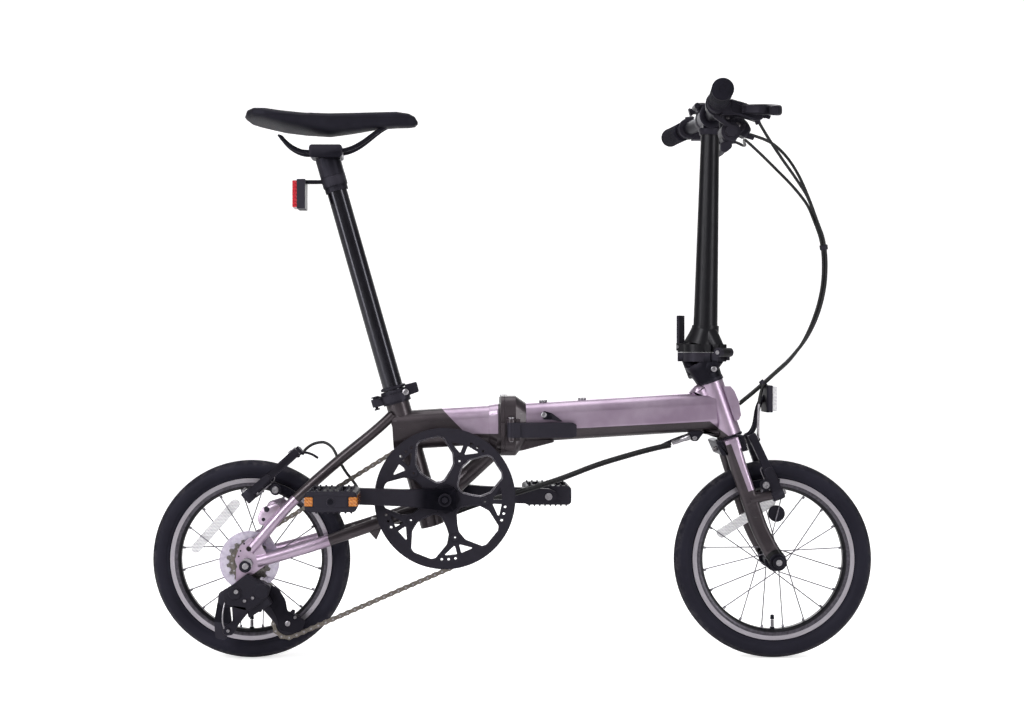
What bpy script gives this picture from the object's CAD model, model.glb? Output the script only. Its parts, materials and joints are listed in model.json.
"""A folding bicycle, built over its CAD pieces.

The bicycle stands on Z = 0 and faces +X, with its left side at +Y and its right side at -Y.
The CAD pieces get materials, and detailed meshes replace or dress some of them.
Product sizes are in mm; the lights, the floor and the camera are in metres.
"""
import json
import math
import random
import bmesh
import bpy
import numpy as np
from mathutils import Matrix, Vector

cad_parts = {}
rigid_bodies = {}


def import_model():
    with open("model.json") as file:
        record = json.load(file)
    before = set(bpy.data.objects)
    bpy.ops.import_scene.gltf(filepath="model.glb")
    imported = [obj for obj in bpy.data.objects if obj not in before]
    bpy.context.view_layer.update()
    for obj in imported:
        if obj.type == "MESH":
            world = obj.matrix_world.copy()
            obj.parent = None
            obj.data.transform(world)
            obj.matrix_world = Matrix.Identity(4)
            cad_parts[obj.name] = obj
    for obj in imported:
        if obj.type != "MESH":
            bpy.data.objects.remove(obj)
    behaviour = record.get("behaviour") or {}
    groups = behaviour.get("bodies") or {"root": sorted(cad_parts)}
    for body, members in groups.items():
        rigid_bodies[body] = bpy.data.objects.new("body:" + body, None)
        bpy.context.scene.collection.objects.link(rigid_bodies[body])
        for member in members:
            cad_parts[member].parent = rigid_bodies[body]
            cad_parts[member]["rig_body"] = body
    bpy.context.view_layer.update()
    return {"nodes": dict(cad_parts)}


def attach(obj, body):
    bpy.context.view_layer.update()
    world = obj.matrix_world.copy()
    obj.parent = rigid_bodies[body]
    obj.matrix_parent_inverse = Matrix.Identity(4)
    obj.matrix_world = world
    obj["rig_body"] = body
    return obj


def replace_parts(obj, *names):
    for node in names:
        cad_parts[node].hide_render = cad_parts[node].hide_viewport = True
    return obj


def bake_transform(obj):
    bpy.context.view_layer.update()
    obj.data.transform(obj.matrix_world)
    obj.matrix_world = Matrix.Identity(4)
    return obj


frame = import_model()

random.seed(7)
NODES = frame["nodes"]
SCENE = bpy.context.scene
MM = 0.001

# Driving dimensions
WHEEL_Z = 162.0
FRONT_X, REAR_X = 428.0, -428.0
BRACKET = (-110.5, 265.0)                  # bottom bracket, (x, z)
CRANK_LENGTH = 175
CRANK_TILT = math.radians(2.5)             # the right crank points back and rises this much
REACH, RISE = CRANK_LENGTH * math.cos(CRANK_TILT), CRANK_LENGTH * math.sin(CRANK_TILT)
# name, x, z and side of each pedal
PEDALS = (("pedal_right", BRACKET[0] - REACH, BRACKET[1] + RISE, -1),
          ("pedal_left", BRACKET[0] + REACH, BRACKET[1] - RISE, 1))
HEAD_DIR = (-0.3304, 0.9438)               # head tube direction, (x, z)
HEAD_TOP, HEAD_AXIS = Vector((326.4, 0, 452.2)), Vector((HEAD_DIR[0], 0, HEAD_DIR[1]))
SEAT_ORIGIN, SEAT_AXIS = Vector((-198.2, 0, 452.0)), Vector((-0.2744, 0, 0.9616))
SIDES = ((-1, "right"), (1, "left"))
TO_RIGHT = (0, -1, 0)
X, Y, Z = Vector((1, 0, 0)), Vector((0, 1, 0)), Vector((0, 0, 1))


# ------------------------------------------------------------------ material tools
def linear(code):
    """Linear RGBA of a hex sRGB colour."""
    channels = [int(code[i:i + 2], 16) / 255 for i in (1, 3, 5)]
    return tuple(c / 12.92 if c <= 0.04045 else ((c + 0.055) / 1.055) ** 2.4
                 for c in channels) + (1.0,)


class Material:
    """A node material. Positions are in mm; a colour is a socket or a hex code."""

    def __init__(self, name):
        self.data = bpy.data.materials.new(name)
        self.data.use_nodes = True
        self.tree = self.data.node_tree
        self.shader = self.tree.nodes["Principled BSDF"]
        scale = self.node("VectorMath")
        scale.operation = "SCALE"
        scale.inputs["Scale"].default_value = 1000.0
        self.put(scale.inputs[0], self.node("TexCoord").outputs["Object"])
        self.position = scale.outputs[0]
        self.axes = None

    def node(self, kind):
        return self.tree.nodes.new("ShaderNode" + kind)

    def put(self, socket, value):
        """Links a socket, or sets a value or a colour."""
        if isinstance(value, bpy.types.NodeSocket):
            self.tree.links.new(value, socket)
        else:
            socket.default_value = linear(value) if isinstance(value, str) else value

    def axis(self, index):
        if self.axes is None:
            split = self.node("SeparateXYZ")
            self.put(split.inputs[0], self.position)
            self.axes = split.outputs
        return self.axes[index]

    @property
    def x(self):
        return self.axis(0)

    @property
    def y(self):
        return self.axis(1)

    @property
    def z(self):
        return self.axis(2)

    def calc(self, operation, a, b=0.0, c=0.0, clamp=False):
        node = self.node("Math")
        node.operation = operation
        node.use_clamp = clamp
        for socket, value in zip(node.inputs, (a, b, c)):
            self.put(socket, value)
        return node.outputs[0]

    def add(self, value, to):
        return self.calc("ADD", value, to)

    def sub(self, value, less):
        return self.calc("SUBTRACT", value, less)

    def mul(self, value, by):
        return self.calc("MULTIPLY", value, by)

    def invert(self, value):
        return self.calc("SUBTRACT", 1.0, value)

    def varied(self, base, source, by):
        """A base value plus a share of a texture."""
        return self.add(base, to=self.mul(source, by))

    def above(self, value, edge, soft):
        """0 below edge, 1 above it, over a soft width."""
        return self.calc("MULTIPLY_ADD", self.sub(value, edge), 1.0 / soft, 0.5, clamp=True)

    def zigzag(self, value, by, top):
        return self.calc("PINGPONG", self.mul(value, by), top)

    def vector(self, operation, source, other=None, out=0):
        node = self.node("VectorMath")
        node.operation = operation
        self.put(node.inputs[0], source)
        if other:
            node.inputs[1].default_value = other
        return node.outputs[out]

    def along(self, direction, point):
        """Distance from a point along a direction, both (x, z)."""
        dot = self.vector("DOT_PRODUCT", self.position, (direction[0], 0, direction[1]), "Value")
        return self.sub(dot, sum(a * b for a, b in zip(direction, point)))

    def radius(self, wheel_x):
        """Distance from a wheel's axis."""
        arm = self.vector("SUBTRACT", self.position, (wheel_x, 0, WHEEL_Z))
        return self.vector("LENGTH", self.vector("MULTIPLY", arm, (1, 0, 1)), out="Value")

    def noise(self, scale, detail=3.0, rough=0.6, stretch=None, source=None):
        node = self.node("TexNoise")
        node.inputs["Scale"].default_value = scale
        node.inputs["Detail"].default_value = detail
        node.inputs["Roughness"].default_value = rough
        source = source or self.position
        if stretch:
            source = self.vector("MULTIPLY", source, stretch)
        self.put(node.inputs["Vector"], source)
        return node.outputs[0]

    def cells(self, scale, out="Distance"):
        node = self.node("TexVoronoi")
        node.inputs["Scale"].default_value = scale
        self.put(node.inputs["Vector"], self.position)
        return node.outputs[out]

    def ramp(self, value, start, end, high=1.0):
        """0 at start to high at end."""
        node = self.node("MapRange")
        node.clamp = True
        self.put(node.inputs["Value"], value)
        node.inputs["From Min"].default_value = start
        node.inputs["From Max"].default_value = end
        node.inputs["To Min"].default_value = 0.0
        node.inputs["To Max"].default_value = high
        return node.outputs[0]

    def mottle(self, noise):
        """Soft patches out of a noise."""
        return self.ramp(noise, start=0.35, end=0.7)

    def blend(self, data_type, socket_type, factor, a, b):
        node = self.node("Mix")
        node.data_type = data_type
        self.put(node.inputs["Factor"], factor)
        for name, value in (("A", a), ("B", b)):
            self.put(next(s for s in node.inputs if s.name == name and s.type == socket_type),
                     value)
        return next(s for s in node.outputs if s.type == socket_type)

    def mix(self, factor, a, b):
        return self.blend("RGBA", "RGBA", factor, a, b)

    def mix_value(self, factor, a, b):
        return self.blend("FLOAT", "VALUE", factor, a, b)

    def set(self, **values):
        for name, value in values.items():
            self.put(self.shader.inputs[name.replace("_", " ")], value)

    def tone(self, level):
        """Weak reflections that lean to blue, for dark anodised and moulded parts."""
        self.set(Specular_IOR_Level=level, Specular_Tint=(0.80, 0.78, 1.0, 1))

    def bump(self, height, distance, strength=0.5, bevel=0.0):
        """Relief; distance and the radius of the rounded edges are in metres."""
        node = self.node("Bump")
        node.inputs["Strength"].default_value = strength
        node.inputs["Distance"].default_value = distance
        self.put(node.inputs["Height"], height)
        if bevel:
            edges = self.node("Bevel")
            edges.samples = 4
            edges.inputs["Radius"].default_value = bevel
            self.put(node.inputs["Normal"], edges.outputs[0])
        self.put(self.shader.inputs["Normal"], node.outputs[0])


# ------------------------------------------------------------------ materials
def metallic_paint(m, light, black=None):
    """Two-tone paint: light is 1 where the light colour shows, black is 1 on bare black."""
    split = m.node("SeparateColor")
    m.put(split.inputs[0], m.cells(scale=1.6, out="Color"))
    flake = split.outputs[0]
    patches = m.noise(scale=0.012, detail=3)
    lavender = m.mix(m.mottle(patches), "#a18ca3", "#c6b4c8")
    lavender = m.mix(m.mul(flake, by=0.16), lavender, "#8b778d")
    taupe = m.mix(m.mottle(patches), "#332d31", "#463f43")
    taupe = m.mix(m.mul(flake, by=0.10), taupe, "#6a5d68")
    scratches = m.noise(scale=0.25, detail=5, rough=0.7, stretch=(0.15, 1, 1))
    colour = m.mix(m.ramp(scratches, start=0.66, end=0.74, high=0.18),
                   m.mix(light, taupe, lavender), "#d9d2dc")
    if black is not None:
        colour = m.mix(black, colour, "#0b0a0e")
    roughness = m.varied(m.mix_value(light, 0.34, 0.30), m.noise(scale=0.08, detail=4), by=0.10)
    m.set(Base_Color=colour, Metallic=m.mix_value(light, 0.72, 0.82), Roughness=roughness,
          Coat_Weight=0.35, Coat_Roughness=0.16)
    m.bump(m.varied(m.mul(flake, by=0.10), m.noise(scale=0.5, detail=3), by=0.5),
           distance=0.00005, bevel=0.0006)
    return m


def rear_paint():
    """Light paint on the side of the tube stub and on the rear ends of the stays."""
    m = Material("paint_rear")
    slant = 0.973
    diagonal = m.above(m.add(m.x, to=m.mul(m.z, by=slant)), edge=-111.2 + 404.5 * slant, soft=0.8)
    stub = m.mul(m.mul(diagonal, by=m.above(m.z, edge=368.3, soft=0.8)),
                 by=m.invert(m.above(m.x, edge=-23.5, soft=0.3)))
    stub = m.mul(stub, by=m.above(m.x, edge=-120, soft=1))
    # a line that rises forwards from the rear axle parts the upper stays from the lower
    rise = m.sub(m.sub(m.z, WHEEL_Z), m.mul(m.add(m.x, to=-REAR_X), by=0.6))
    upper = m.above(rise, edge=0.0, soft=1.0)
    lower_edge = m.along((-0.951, -0.31), (-300, 197))
    upper_edge = m.along((-0.70, -0.714), (-352, 262))

    def ends(distance):
        return m.above(distance, edge=0.0, soft=0.6)

    def stripe(distance):
        return m.sub(m.above(distance, edge=-2.5, soft=0.4), m.above(distance, edge=0.5, soft=0.4))

    def on_stays(pattern):
        mask = m.mix_value(upper, pattern(lower_edge), pattern(upper_edge))
        return m.mul(mask, by=m.invert(m.above(m.x, edge=-240, soft=1)))

    mask = m.calc("MAXIMUM", stub, on_stays(ends))
    return metallic_paint(m, m.calc("MAXIMUM", mask, on_stays(stripe), clamp=True))


def front_paint():
    """Light paint on the upper band and the front tip of the main tube."""
    m = Material("paint_front")
    slope = 0.0524
    band = m.above(m.sub(m.z, m.mul(m.x, by=slope)), edge=377.4 - 108.4 * slope, soft=0.8)
    tip = m.above(m.along((0.615, 0.789), (323.9, 387.2)), edge=0.0, soft=1.0)
    return metallic_paint(m, m.mul(m.calc("MAXIMUM", band, tip),
                                   by=m.above(m.x, edge=22.0, soft=0.3)))


def fork_paint():
    """Light paint on the crown and the steerer's foot, black round the axle."""
    m = Material("paint_fork")
    crown = m.mul(m.above(m.along((-0.34, 0.94), (387, 278)), edge=0.0, soft=0.8),
                  by=m.above(m.along((0.94, 0.344), (353.5, 351)), edge=0.0, soft=1.0))
    foot = (361, 356)
    across = (HEAD_DIR[1], -HEAD_DIR[0])
    steerer = m.mul(m.above(m.along(HEAD_DIR, foot), edge=0.0, soft=0.6),
                    by=m.above(m.along(across, foot), edge=-17.0, soft=1.0))
    from_axle = m.varied(m.radius(FRONT_X), m.z, by=0.0)
    return metallic_paint(m, m.calc("MAXIMUM", crown, steerer),
                          black=m.invert(m.above(from_axle, edge=21.0, soft=0.8)))


def black_metal(name, colour="#07060b", rough=0.34, metal=0.1, coat=0.0, grain=0.6, edges=True,
                tone=None):
    m = Material(name)
    speckle = m.noise(scale=grain, detail=5, rough=0.7)
    base = m.mix(m.mottle(m.noise(scale=0.06, detail=4)), colour, "#0e0d13")
    base = m.mix(m.ramp(speckle, start=0.62, end=0.74, high=0.20), base, "#26242e")
    if edges:
        worn = m.ramp(m.node("NewGeometry").outputs["Pointiness"], start=0.52, end=0.60)
        base = m.mix(m.mul(worn, by=0.3), base, "#4a4750")
    m.set(Base_Color=base, Metallic=metal, Roughness=m.varied(rough, speckle, by=0.12),
          Coat_Weight=coat, Coat_Roughness=0.2)
    m.bump(speckle, distance=0.00008, bevel=0.0005)
    if tone:
        m.tone(tone)
    return m


def steel(name, colour="#b9b6bb", rough=0.22, stretch=None, dark="#6d6a70"):
    m = Material(name)
    grain = m.noise(scale=0.9, detail=4, rough=0.6, stretch=stretch)
    stains = m.ramp(m.noise(scale=0.05, detail=4), start=0.55, end=0.75, high=0.5)
    m.set(Base_Color=m.mix(stains, m.mix(m.mottle(grain), colour, dark), "#4a464a"),
          Metallic=0.95, Roughness=m.varied(rough, grain, by=0.18))
    m.bump(grain, distance=0.00003, bevel=0.0003)
    return m


def rubber(name, colour, second, rough, grain, bevel):
    m = Material(name)
    speckle = m.noise(scale=grain, detail=5, rough=0.7)
    base = m.mix(m.mottle(m.noise(scale=0.03, detail=3)), colour, second)
    base = m.mix(m.ramp(speckle, start=0.60, end=0.75, high=0.4), base, "#38353d")
    m.set(Base_Color=base, Roughness=m.varied(rough, speckle, by=0.15), Specular_IOR_Level=0.4)
    m.bump(speckle, distance=0.00012, bevel=bevel)
    return m


def lens(name, colour, ridge_colour):
    """Moulded reflector plastic with a prism pattern."""
    m = Material(name)
    prisms = m.add(m.zigzag(m.add(m.x, to=m.z), by=0.35, top=1.0),
                   to=m.zigzag(m.add(m.y, to=m.z), by=0.35, top=1.0))
    m.set(Base_Color=m.mix(m.mul(prisms, by=0.5), colour, ridge_colour), Roughness=0.12,
          Coat_Weight=1.0, Coat_Roughness=0.05, Transmission_Weight=0.25, IOR=1.45)
    m.bump(prisms, distance=0.0006, strength=0.8)
    return m


def rim_paint(name, wheel_x):
    """Machined brake track outside, then grey, then black towards the spokes."""
    m = Material(name)
    radius = m.radius(wheel_x)
    angle = m.calc("ARCTAN2", m.sub(m.z, WHEEL_Z), m.sub(m.x, wheel_x))
    grain = m.noise(scale=3.0, detail=3)
    polar_position = m.node("CombineXYZ")
    m.put(polar_position.inputs[0], m.mul(radius, by=2.2))
    m.put(polar_position.inputs[1], m.mul(angle, by=3.0))
    rings = m.noise(scale=1.6, detail=4, rough=0.7, source=polar_position.outputs[0])
    silver = m.mix(m.ramp(rings, start=0.3, end=0.7), "#c9c4cb", "#8e8992")
    grey = m.mix(m.mottle(m.noise(scale=0.2, detail=4)), "#3c3940", "#56525b")
    black = m.mix(m.mottle(m.noise(scale=0.2, detail=4)), "#121116", "#201e25")
    track = m.above(radius, edge=125.6, soft=0.4)
    flank = m.above(radius, edge=120.0, soft=0.6)
    track_roughness = m.varied(0.2, rings, by=0.2)
    m.set(Base_Color=m.mix(track, m.mix(flank, black, grey), silver),
          Metallic=m.mix_value(track, 0.5, 0.95),
          Roughness=m.mix_value(track, 0.35, track_roughness))
    m.bump(m.add(rings, to=grain), distance=0.00004, bevel=0.0004)
    return m


def tyre_rubber(name, wheel_x):
    """Black rubber with a ribbed side wall and dust on the tread."""
    m = Material(name)
    radius = m.radius(wheel_x)
    speckle = m.noise(scale=0.7, detail=5, rough=0.7)
    base = m.mix(m.mottle(m.noise(scale=0.02, detail=3)), "#100f17", "#16151e")
    base = m.mix(m.ramp(speckle, start=0.58, end=0.75, high=0.35), base, "#26242f")
    dust = m.mul(m.above(radius, edge=155.0, soft=6.0),
                 by=m.ramp(m.noise(scale=0.09, detail=5, rough=0.7), start=0.45, end=0.7))
    m.set(Base_Color=m.mix(m.mul(dust, by=0.35), base, "#5a5556"),
          Roughness=m.varied(0.55, speckle, by=0.15))
    ribs = m.mul(m.zigzag(radius, by=0.9, top=0.5),
                 by=m.invert(m.above(radius, edge=146, soft=1.0)))
    m.bump(m.add(ribs, to=speckle), distance=0.00015)
    m.tone(0.28)
    return m


def clear_disc():
    m = Material("protector_disc")
    haze = m.noise(scale=0.15, detail=3)
    m.set(Base_Color=m.mix(m.mottle(haze), "#cfc4dc", "#e9e2f1"),
          Roughness=m.varied(0.15, haze, by=0.1), Transmission_Weight=0.55, IOR=1.35, Alpha=0.82)
    m.bump(m.noise(scale=0.4, detail=3), distance=0.00005, strength=0.4)
    return m


def saddle_cover():
    """Grained cover with a fine groove that follows the flank."""
    m = Material("saddle_cover")
    grain = m.cells(scale=1.4)
    base = m.mix(m.mottle(m.noise(scale=0.05, detail=4)), "#0b0a10", "#121118")
    base = m.mix(m.mul(grain, by=0.25), base, "#232129")
    slope, height = 0.012, 886.5
    from_line = m.calc("ABSOLUTE", m.sub(m.z, m.calc("MULTIPLY_ADD", m.x, slope, height)))
    seam = m.invert(m.ramp(from_line, start=0.3, end=1.0))
    m.set(Base_Color=m.mix(m.mul(seam, by=0.7), base, "#0a090c"),
          Roughness=m.varied(0.44, grain, by=0.15))
    m.bump(m.sub(m.mul(grain, by=0.5), seam), distance=0.00035, strength=0.6)
    m.tone(0.22)
    return m


PAINT_REAR = rear_paint()
PAINT_FRONT = front_paint()
PAINT_FORK = fork_paint()
PAINT_DARK = metallic_paint(Material("paint_plain"), light=0.0)
PAINT_LIGHT = metallic_paint(Material("paint_light"), light=1.0)
BLACK = black_metal("black_anodised", tone=0.20)
GLOSS = black_metal("black_gloss_tube", "#060508", rough=0.13, metal=0.0, coat=0.5, grain=0.35,
                    edges=False, tone=0.36)
SATIN = black_metal("black_satin_tube", "#141318", rough=0.30, metal=0.5, grain=0.5, edges=False)
FORGED = black_metal("black_forged", "#050509", rough=0.36, metal=0.0, tone=0.07)
PLASTIC = black_metal("black_plastic", "#07060a", rough=0.42, metal=0.0, grain=0.9, tone=0.20)
STEEL = steel("bright_steel")
SPOKE = steel("spoke_steel", "#8d8a92", rough=0.28, stretch=(1, 1, 1), dark="#4d4a52")
DARK_STEEL = steel("dark_steel", "#6f6b6e", rough=0.3, dark="#3b383b")
RUBBER = rubber("grip_rubber", "#0a090e", "#12111a", rough=0.66, grain=1.2, bevel=0.0005)
RUBBER.tone(0.22)
HOUSING = rubber("cable_housing", "#08070b", "#0f0e13", rough=0.38, grain=2.0, bevel=0.0)
CLEAR = lens("lens_clear", "#d9d6de", "#ffffff")
RED = lens("lens_red", "#a01020", "#e0303c")
AMBER = lens("lens_amber", "#b05a12", "#e89438")
COG = steel("cog_steel", "#86827f", rough=0.25, dark="#4c4948")
CHAIN = steel("chain_steel", "#8b847d", rough=0.28, dark="#4d4742")
RIM_FRONT, RIM_REAR = rim_paint("rim_front", FRONT_X), rim_paint("rim_rear", REAR_X)
TYRE_FRONT, TYRE_REAR = tyre_rubber("tyre_front", FRONT_X), tyre_rubber("tyre_rear", REAR_X)
DISC = clear_disc()
BEVEL_BRIGHT = steel("bevel_bright", "#b9b5bd", rough=0.25)
BEVEL_DARK = steel("bevel_dark", "#55525b", rough=0.35, dark="#2c2a31")


# ------------------------------------------------------------------ geometry tools
def assign(obj, material):
    obj.data.materials.clear()
    obj.data.materials.append(material.data)


def smooth_faces(mesh):
    mesh.polygons.foreach_set("use_smooth", [True] * len(mesh.polygons))


def tidy(obj, recalc=True, angle=None):
    """Turns the faces outwards, and marks edges steeper than angle as sharp."""
    bm = bmesh.new()
    bm.from_mesh(obj.data)
    if recalc:
        bmesh.ops.recalc_face_normals(bm, faces=bm.faces)
    if angle:
        limit = math.radians(angle)
        for edge in bm.edges:
            edge.smooth = len(edge.link_faces) == 2 and edge.calc_face_angle(0) < limit
    bm.to_mesh(obj.data)
    bm.free()


def add_piece(name, verts, faces, material, body):
    """A smooth-shaded object out of points in mm that rides on a body."""
    mesh = bpy.data.meshes.new(name)
    mesh.from_pydata([Vector(v) * MM for v in verts], [], faces)
    mesh.validate()
    mesh.update()
    obj = bpy.data.objects.new(name, mesh)
    SCENE.collection.objects.link(obj)
    assign(obj, material)
    smooth_faces(mesh)
    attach(obj, body)
    return obj


def polar(centre, radius, angle):
    """(x, z) on a circle."""
    return centre[0] + radius * math.cos(angle), centre[1] + radius * math.sin(angle)


def span(side, near, far):
    """The y range between two distances on one side, in rising order."""
    return sorted((side * near, side * far))


def square_axes(direction):
    """Two directions across the given one, and the given one at unit length."""
    d = Vector(direction).normalized()
    up = X if abs(d.dot(Z)) > 0.95 else Z
    a = up.cross(d).normalized()
    return a, d.cross(a).normalized(), d


def tube_faces(rings, sides, flip_caps=False):
    """Faces over a row of closed rings, with a cap at each end."""
    faces = [(j * sides + i, j * sides + (i + 1) % sides,
              (j + 1) * sides + (i + 1) % sides, (j + 1) * sides + i)
             for j in range(rings - 1) for i in range(sides)]
    first, last = tuple(range(sides)), tuple(range((rings - 1) * sides, rings * sides))
    return faces + ([first, last[::-1]] if flip_caps else [first[::-1], last])


def loop_faces(count, width):
    """Faces over a closed loop of open profiles, each width points long."""
    return [(i * width + j, i * width + j + 1,
             (i + 1) % count * width + j + 1, (i + 1) % count * width + j)
            for i in range(count) for j in range(width - 1)]


def offset(points, distance):
    """Outline moved outwards along its own normals."""
    count = len(points)
    area = sum(points[i - 1][0] * points[i][1] - points[i][0] * points[i - 1][1]
               for i in range(count))
    turn = 1 if area > 0 else -1
    out = []
    for i in range(count):
        p, before, after = Vector(points[i]), Vector(points[i - 1]), Vector(points[(i + 1) % count])
        d = ((p - before).normalized() + (after - p).normalized()).normalized()
        out.append(tuple(p + Vector((d.y, -d.x)) * turn * distance))
    return out


def rounded(points, radius):
    """Outline with its corners rounded off."""
    steps = 3
    out = []
    for i, point in enumerate(points):
        p = Vector(point)
        back, ahead = Vector(points[i - 1]) - p, Vector(points[(i + 1) % len(points)]) - p
        cut = min(radius, back.length * 0.45, ahead.length * 0.45)
        start, end = p + back.normalized() * cut, p + ahead.normalized() * cut
        for k in range(steps + 1):
            t = k / steps
            out.append(tuple(start * (1 - t) ** 2 + p * 2 * t * (1 - t) + end * t ** 2))
    return out


def spline(points, steps):
    """Catmull-Rom curve through the points."""
    p = [Vector(q) for q in points]
    p = [p[0] * 2 - p[1]] + p + [p[-1] * 2 - p[-2]]
    spans = len(p) - 3
    out = []
    for i in range(steps + 1):
        t = i / steps * spans
        k = min(int(t), spans - 1)
        u = t - k
        a, b, c, d = p[k:k + 4]
        out.append(0.5 * ((2 * b) + (c - a) * u + (2 * a - 5 * b + 4 * c - d) * u * u
                          + (3 * b - a - 3 * c + d) * u ** 3))
    return out


class Shape:
    """Collects many small solids into one piece. Each method returns the shape."""

    def __init__(self):
        self.verts, self.faces = [], []

    def add(self, verts, faces):
        base = len(self.verts)
        self.verts += [tuple(v) for v in verts]
        self.faces += [tuple(i + base for i in face) for face in faces]
        return self

    def lathe(self, start, direction, rings, sides=32):
        """Solid of revolution. rings are (distance along the axis, radius)."""
        start = Vector(start)
        a, b, d = square_axes(direction)
        verts = []
        for distance, radius in rings:
            for i in range(sides):
                q = 2 * math.pi * i / sides
                verts.append(start + d * distance + (a * math.cos(q) + b * math.sin(q)) * radius)
        return self.add(verts, tube_faces(len(rings), sides))

    def rod(self, start, end, radius, end_radius=None, sides=20, bevel=0.0):
        """Cylinder or cone, with chamfered ends if there is a bevel."""
        end_radius = radius if end_radius is None else end_radius
        direction = Vector(end) - Vector(start)
        length = direction.length
        rings = [(0, radius), (length, end_radius)]
        if bevel:
            rings = [(0, radius - bevel), (bevel, radius),
                     (length - bevel, end_radius), (length, end_radius - bevel)]
        return self.lathe(start, direction, rings, sides)

    def tube(self, points, radius, sides=10, profile=None):
        """Pipe along the points. profile scales the radius over 0 to 1 of the way."""
        points = [Vector(p) for p in points]
        last = len(points) - 1
        verts = []
        a = None
        for j, p in enumerate(points):
            d = (points[min(j + 1, last)] - points[max(j - 1, 0)]).normalized()
            if a is None:
                a, b, _ = square_axes(d)
            else:
                a = (a - d * a.dot(d)).normalized()
                b = d.cross(a)
            r = profile(j / last) * radius if profile else radius
            for i in range(sides):
                q = 2 * math.pi * i / sides
                verts.append(p + (a * math.cos(q) + b * math.sin(q)) * r)
        return self.add(verts, tube_faces(len(points), sides))

    def prism(self, outline, low, high, bevel=0.0, axes=(X, Z, Y), origin=(0, 0, 0)):
        """Outline swept from low to high. axes: the outline's two and the sweep's."""
        u, w, sweep = [Vector(q) for q in axes]
        origin = Vector(origin)
        count = len(outline)
        layers = [(low, outline), (high, outline)]
        if bevel:
            inset = offset(outline, -bevel)
            layers = [(low, inset), (low + bevel, outline), (high - bevel, outline), (high, inset)]
        verts = [origin + u * p[0] + w * p[1] + sweep * level
                 for level, points in layers for p in points]
        top = len(layers) - 1
        faces = [(j * count + i, (j + 1) * count + i,
                  (j + 1) * count + (i + 1) % count, j * count + (i + 1) % count)
                 for j in range(top) for i in range(count)]
        faces.append(tuple(range(count)))
        faces.append(tuple(top * count + i for i in reversed(range(count))))
        return self.add(verts, faces)

    def bolt(self, foot, outward, radius, height, socket=0.5):
        """Rounded bolt head with a hollow in it."""
        return self.lathe(foot, outward, [
            (0, radius), (height * 0.75, radius), (height, radius * 0.82),
            (height, radius * socket), (height * 0.35, radius * socket * 0.9)], 24)

    def block(self, low, high, bevel):
        """Box with chamfered edges."""
        x0, y0, z0 = low
        x1, y1, z1 = high
        return self.prism([(x0 + bevel, z0), (x1 - bevel, z0), (x1, z0 + bevel), (x1, z1 - bevel),
                           (x1 - bevel, z1), (x0 + bevel, z1), (x0, z1 - bevel), (x0, z0 + bevel)],
                          y0, y1, bevel)

    def make(self, name, material, body, slot, angle=40):
        obj = add_piece(name, self.verts, self.faces, material, body)
        tidy(obj, angle=angle)
        return obj


# ------------------------------------------------------------------ finishes of the CAD pieces
# Pieces not named here are black anodised.
FINISHES = (
    (PAINT_REAR, "rear_frame"), (PAINT_FRONT, "front_frame"), (PAINT_FORK, "fork"),
    (PAINT_DARK, "kickstand_plate"), (PAINT_LIGHT, "frame_inserts"),
    (DARK_STEEL, "bottom_bracket_cups"),
    (STEEL, "rear_axle front_axle frame_hinge_pins headset_bearings handlepost_pins crank_axles"),
    (PLASTIC, "derailleur front_reflector rear_reflector shifter_body shift_lever guide_pulley "
              "tension_pulley pedal_right pedal_left"),
    (SATIN, "handlepost"), (GLOSS, "seatpost"), (DISC, "spoke_protector"), (COG, "cassette"),
    (RIM_FRONT, "front_rim"), (RIM_REAR, "rear_rim"), (SPOKE, "front_spokes rear_spokes"),
    (CLEAR, "front_wheel_reflector rear_wheel_reflector"),
    (FORGED, "crank_arm_right crank_arm_left chain_guard chainring"),
    (TYRE_FRONT, "front_tyre"), (TYRE_REAR, "rear_tyre"), (RUBBER, "grips saddle"),
    (CHAIN, "chain"), (HOUSING, "cable_loop frame_cables"),
)
FINISH_OF = {name: material for material, names in FINISHES for name in names.split()}
for name, node in NODES.items():
    assign(node, FINISH_OF.get(name, BLACK))
    smooth_faces(node.data)
    tidy(node, recalc=False, angle=35)


def second_finish(name, material, test):
    """Another material on the faces whose centre, in mm, passes the test."""
    mesh = NODES[name].data
    mesh.materials.append(material.data)
    for face in mesh.polygons:
        centre = sum((mesh.vertices[i].co for i in face.vertices), Vector())
        if test(centre / len(face.vertices) * 1000):
            face.material_index = 1


for name, px, pz, _ in PEDALS:
    second_finish(name, AMBER, lambda c: (abs(c.x - px) > 38.04 and abs(c.z - pz) < 8.95
                                          and 102 < abs(c.y) < 162.0))
second_finish("rear_reflector", RED,
              lambda c: c.x < -349.04 and abs(c.y) < 21.95 and 738 < c.z < 782)
second_finish("front_reflector", CLEAR, lambda c: c.x > 424.04)
second_finish("frame_inserts", STEEL, lambda c: c.x < 200)

# ------------------------------------------------------------------ tyres
# half of the section from the bead to the crown: y, radius
TYRE_HALF = [
    (8.0, 131.0), (8.6, 133.4), (11.6, 134.4), (12.2, 135.4), (11.9, 136.2), (14.2, 138.0),
    (16.2, 141.0), (17.3, 145.0), (17.5, 149.0), (16.9, 152.6), (15.8, 155.2), (15.2, 156.0),
    (14.2, 156.9), (13.0, 158.0), (11.0, 159.4), (9.0, 160.4), (8.4, 160.65), (8.0, 160.0),
    (7.4, 160.0), (7.0, 161.0), (5, 161.55), (3.2, 161.85), (2.9, 161.2), (2.3, 161.2),
    (2.0, 161.95), (0, 162.0)]
TYRE_SECTION = TYRE_HALF + [(-y, r) for y, r in reversed(TYRE_HALF[:-1])]
TYRE_STEPS = 288
SIPE_DEPTH = 0.9


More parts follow.
